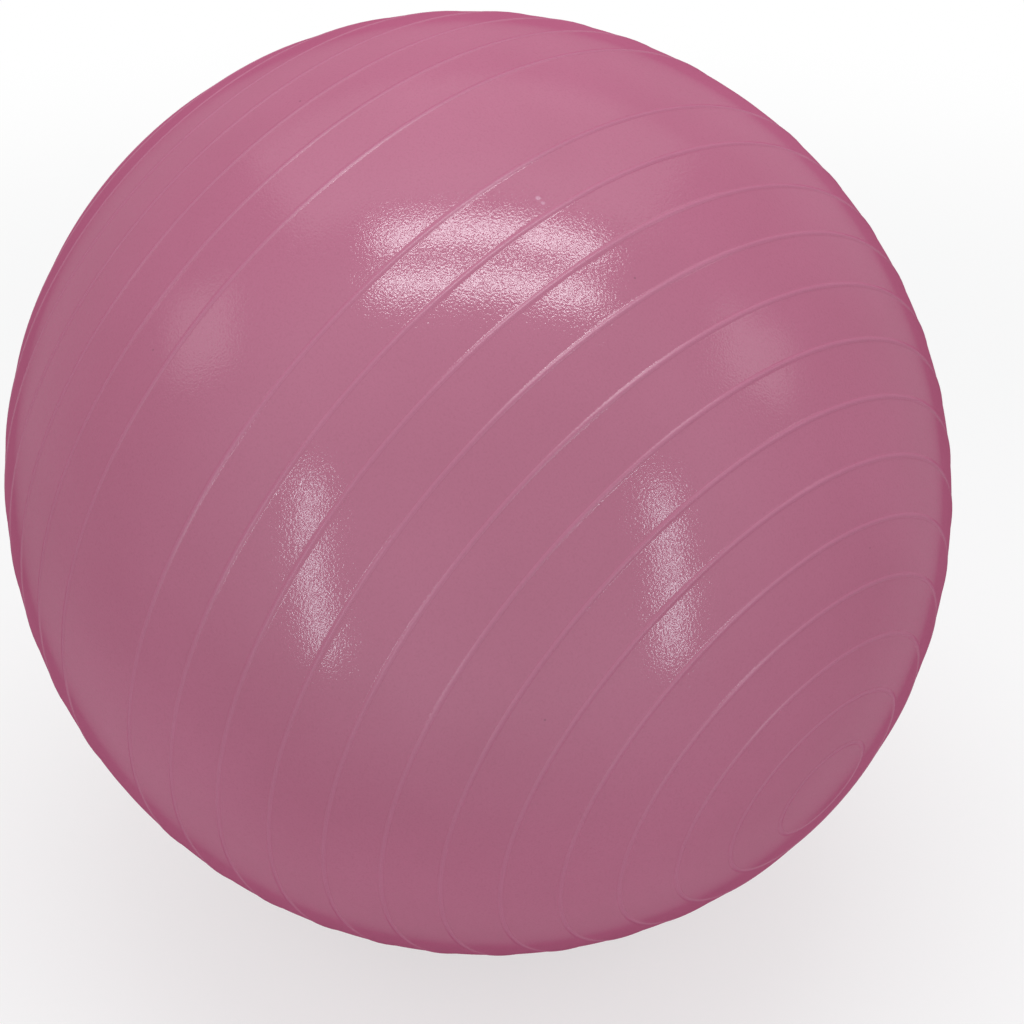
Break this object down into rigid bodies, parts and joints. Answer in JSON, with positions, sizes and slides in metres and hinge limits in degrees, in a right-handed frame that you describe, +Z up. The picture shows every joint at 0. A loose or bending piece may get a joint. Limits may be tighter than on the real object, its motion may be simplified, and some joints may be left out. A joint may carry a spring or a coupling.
{
  "type": "exercise ball",
  "caption": "Inflated exercise ball of pearly pink vinyl with raised ring ribs, a smooth belt and a push-in air plug, standing on its own small flat.",
  "frame": {"origin": "middle of the small flat that the ball's weight presses against the floor", "axes": "+Z up; the rib axis lies in the XZ plane and dips 16 degrees towards +X; +Y out of the air valve"},
  "size_m": [0.7644, 0.7378, 0.7365],
  "materials": {
    "ball_vinyl": "pearly pink soft vinyl, fine pebble grain, satin",
    "valve_vinyl": "pink soft vinyl, satin",
    "plug_plastic": "white polyethylene, satin"
  },
  "bodies": {
    "ball": {"ball_shell": "ball_vinyl", "valve_seat": "valve_vinyl"},
    "plug": {"valve_plug": "plug_plastic"}
  },
  "joints": [
    {"name": "plug_pull", "type": "slide", "parent": "ball", "child": "plug", "axis": [0, 1, 0], "range_m": [0, 0.02]}
  ]
}
